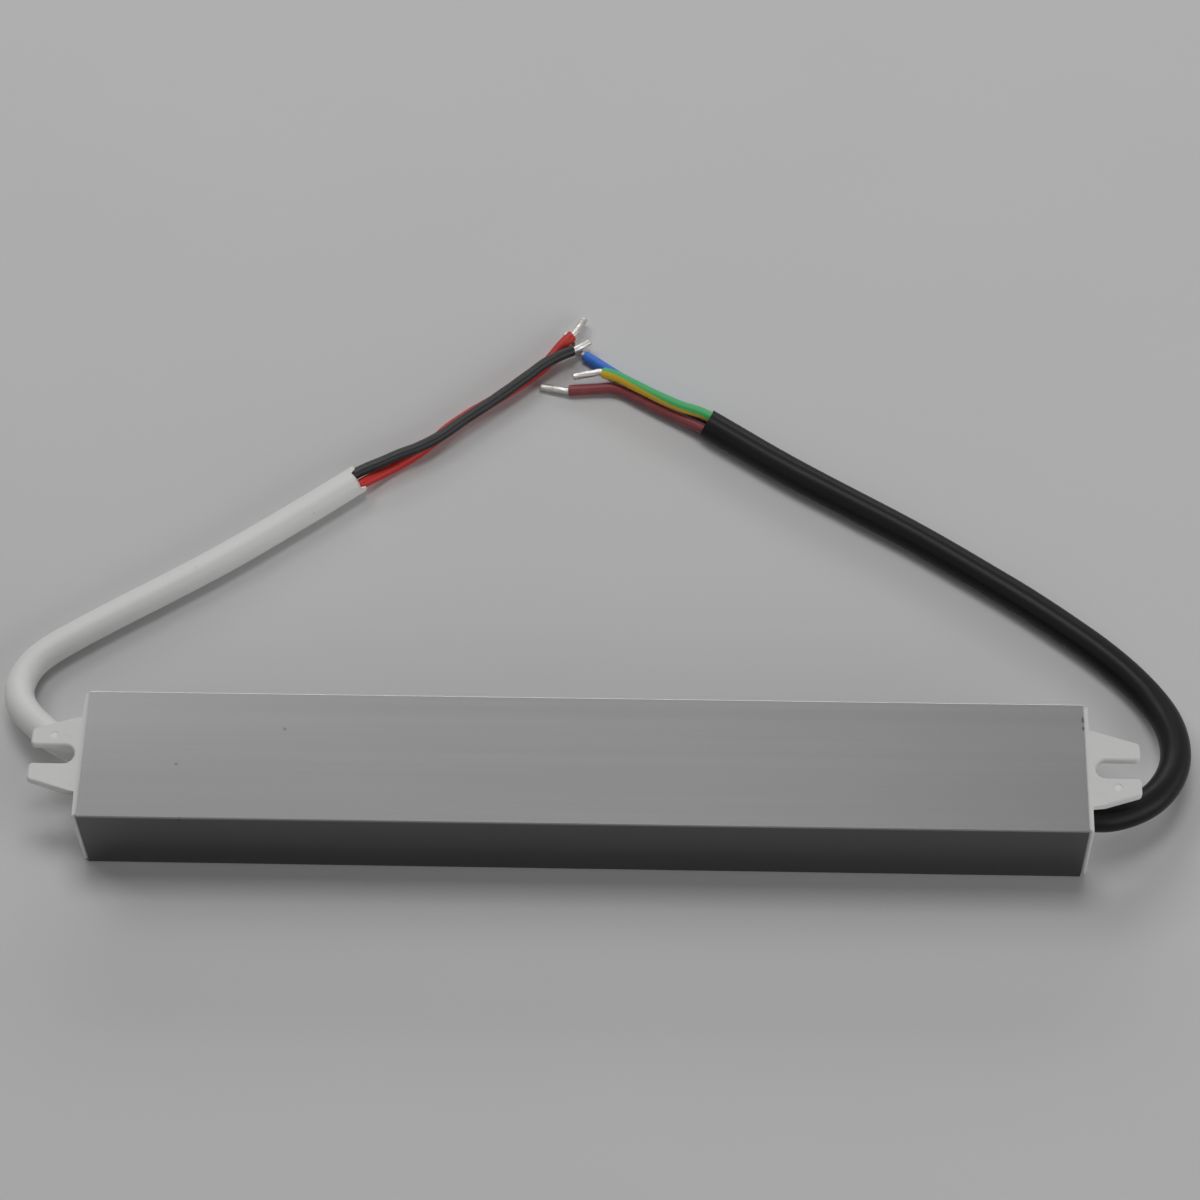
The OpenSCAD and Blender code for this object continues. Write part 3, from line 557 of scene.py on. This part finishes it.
def moulded(node, turn):
    """The cap's solid with its flat faces made whole again and its outer edges rounded.
    Rounding leaves the new faces in any order, so they are sorted to be the same in each run."""
    cap = bmesh.new()
    cap.from_mesh(frame["nodes"][node].data)
    bmesh.ops.remove_doubles(cap, verts=cap.verts, dist=same_point)
    bmesh.ops.dissolve_limit(cap, angle_limit=flat_angle, verts=cap.verts, edges=cap.edges)
    ear, flange = [], []
    for edge in cap.edges:
        if len(edge.link_faces) != 2 or edge.calc_face_angle() < rounded_angle or not edge.is_convex:
            continue
        ends = [turn @ v.co for v in edge.verts]
        outside = all(p.x > tube_end + hair for p in ends)
        under_ear = all(p.z < fillet_top and abs(p.y) < fillet_side and p.x < fillet_reach for p in ends)
        in_mark = all((p - ejector_mark).length < ejector_mark_rim for p in ends)
        if outside and not under_ear and not in_mark:
            on_flange = all(p.x < flange_face + hair for p in ends)
            (flange if on_flange else ear).append(edge)
    for edges, radius in ((flange, flange_edge_r), (ear, ear_edge_r)):
        bmesh.ops.bevel(cap, geom=[edge for edge in edges if edge.is_valid], offset=radius,
                        offset_type="OFFSET", segments=edge_segments, profile=0.5, affect="EDGES",
                        clamp_overlap=False)
    bmesh.ops.remove_doubles(cap, verts=cap.verts, dist=bevel_gap)
    bmesh.ops.triangulate(cap, faces=[face for face in cap.faces
                                      if len(face.verts) > 4 and abs(face.normal.x) > 0.99])
    cap.verts.sort(key=lambda corner: sort_number([corner]))
    cap.edges.sort(key=lambda edge: sort_number(edge.verts))
    cap.faces.sort(key=lambda face: sort_number(face.verts))
    mesh = bpy.data.meshes.new(f"{node}_moulding")
    cap.to_mesh(mesh)
    cap.free()
    mesh.shade_smooth()
    mesh.set_sharp_from_angle(angle=sharp_angle)
    return mesh


for node, turn in cap_turns.items():
    moulding = new_piece(f"{node}_moulding", moulded(node, turn), cap_plastic.material)
    moulding.modifiers.new("even_faces", "WEIGHTED_NORMAL").keep_sharp = True
    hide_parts(node)

# Inside the driver
# What the tube and the potting seal in: the ties behind the caps, the leads, the board and its parts.
# None of it shows, but each piece has its own material, with the grain or the speckle of the real one.
# A finish is its darker and lighter colour, roughness, share of metal and fineness of grain.
inside_finishes = {
    "tie_nylon": ((0.62, 0.62, 0.58), (0.72, 0.72, 0.68), 0.42, 0.0, 900),
    "insulation_green_yellow": ((0.05, 0.27, 0.085), (0.12, 0.33, 0.1), 0.35, 0.0, 700),
    "insulation_brown": ((0.125, 0.036, 0.036), (0.18, 0.07, 0.065), 0.35, 0.0, 700),
    "insulation_blue": ((0.016, 0.07, 0.27), (0.04, 0.12, 0.34), 0.35, 0.0, 700),
    "insulation_black": ((0.013, 0.013, 0.015), (0.04, 0.04, 0.045), 0.35, 0.0, 700),
    "insulation_red": ((0.40, 0.03, 0.026), (0.45, 0.08, 0.07), 0.35, 0.0, 700),
    "board_laminate": ((0.03, 0.16, 0.06), (0.06, 0.24, 0.10), 0.38, 0.0, 1200),
    "fuse_plastic": ((0.45, 0.38, 0.27), (0.55, 0.48, 0.36), 0.5, 0.0, 800),
    "disc_epoxy": ((0.03, 0.12, 0.33), (0.07, 0.2, 0.44), 0.36, 0.0, 600),
    "film_capacitor_plastic": ((0.6, 0.45, 0.05), (0.7, 0.56, 0.1), 0.4, 0.0, 500),
    "choke_ferrite": ((0.05, 0.13, 0.07), (0.09, 0.2, 0.11), 0.45, 0.0, 1500),
    "enamelled_copper": ((0.45, 0.14, 0.04), (0.6, 0.24, 0.09), 0.28, 0.9, 1700),
    "package_epoxy": ((0.014, 0.014, 0.014), (0.03, 0.03, 0.03), 0.6, 0.0, 2200),
    "capacitor_sleeve": ((0.018, 0.018, 0.04), (0.04, 0.04, 0.08), 0.25, 0.0, 400),
    "resistor_lacquer": ((0.1, 0.28, 0.42), (0.16, 0.36, 0.5), 0.4, 0.0, 900),
    "transformer_ferrite": ((0.03, 0.03, 0.033), (0.06, 0.06, 0.065), 0.65, 0.1, 1800),
    "bobbin_plastic": ((0.015, 0.015, 0.015), (0.03, 0.03, 0.03), 0.5, 0.0, 1100),
    "winding_tape": ((0.62, 0.43, 0.03), (0.74, 0.56, 0.08), 0.32, 0.0, 300),
    "optocoupler_plastic": ((0.62, 0.62, 0.6), (0.72, 0.72, 0.7), 0.5, 0.0, 1300),
    "potting_silicone": ((0.09, 0.09, 0.1), (0.14, 0.14, 0.15), 0.62, 0.0, 350)}


def inside_finish(slot):
    """The material of a slot: two tones mixed by a fine grain and a broader drift."""
    dark, light, roughness, metal, fineness = inside_finishes[slot]
    finish = Finish(f"{slot}_inside", Metallic=metal)
    grain = finish.place.noise(scale=fineness, detail=4)
    drift = finish.place.noise(scale=fineness*0.13, detail=2)
    finish.set("Base Color", (grain*0.6 + drift*0.4).colours(dark, light))
    finish.set("Roughness", roughness - 0.05 + grain*0.14)
    finish.relief(grain + drift*0.5, strength=0.2, depth=0.00005)
    return finish.material


inside_materials = {}
for part in frame["record"]["subparts"]:
    slot = part["material_slot"]
    solid = frame["nodes"][part["node"]]
    if slot in inside_finishes and not solid.hide_render:
        if slot not in inside_materials:
            inside_materials[slot] = inside_finish(slot)
        solid.data.materials[0] = inside_materials[slot]

# Studio
# A pale matt table under soft boxes above and behind, with large fills from the front right and the
# right. The room is pale to the camera and in reflections but dim as a light, so that the top has a
# sheen, the back edge shines and the front face stays in the tube's own shade. The tube's colour adds
# to this, with a highlight painted on its back edge and shade painted towards its front.
table_half = 1.8
middle = (0, 0.04, 0)
room_seen = (0.62, 0.62, 0.62)
room_light = (0.06, 0.06, 0.06)
table_mesh = bpy.data.meshes.new("table")
table_mesh.from_pydata([(-table_half, -table_half, 0), (table_half, -table_half, 0),
                        (table_half, table_half, 0), (-table_half, table_half, 0)], [], [(0, 1, 2, 3)])
table = bpy.data.objects.new("table", table_mesh)
bpy.context.scene.collection.objects.link(table)
paper = Finish("table_paper", Specular_IOR_Level=0.1, Roughness=0.85)
paper.set("Base Color", paper.place.noise(scale=14, detail=3).colours((0.69, 0.69, 0.69), (0.72, 0.72, 0.72)))
table_mesh.materials.append(paper.material)


def soft_light(name, place, size, watts):
    """A soft box that faces the middle of the object."""
    lamp = bpy.data.lights.new(name, "AREA")
    lamp.shape = "RECTANGLE"
    lamp.size, lamp.size_y = size
    lamp.energy = watts
    holder = bpy.data.objects.new(name, lamp)
    holder.location = place
    holder.rotation_euler = (Vector(middle) - Vector(place)).to_track_quat("-Z", "Y").to_euler()
    bpy.context.scene.collection.objects.link(holder)


soft_light("overhead_softbox", place=(0, 0.48, 1.64), size=(0.7, 0.5), watts=6.2)
soft_light("back_left_softbox", place=(-0.77, 0.81, 1.30), size=(0.9, 0.6), watts=4.9)
soft_light("low_back_strip", place=(0, 1.58, 0.72), size=(1.4, 0.4), watts=5.0)
soft_light("front_fill", place=(1.22, -0.99, 0.62), size=(2.0, 1.1), watts=9.6)
soft_light("right_fill", place=(1.64, 0.04, 0.48), size=(1.4, 0.8), watts=2.4)

world = bpy.data.worlds.new("room")
bpy.context.scene.world = world
world.use_nodes = True
room = world.node_tree.nodes["Background"]
camera_ray = NodeValue(room.outputs["Background"]).node("ShaderNodeLightPath", {}, {}, "Is Camera Ray")
seen = camera_ray + camera_ray.beside("Is Glossy Ray") + camera_ray.beside("Is Transmission Ray")
seen.feed(room.inputs["Color"], seen.colours(room_light, room_seen))

bpy.context.scene.view_settings.view_transform = "Standard"
bpy.context.view_layer.update()
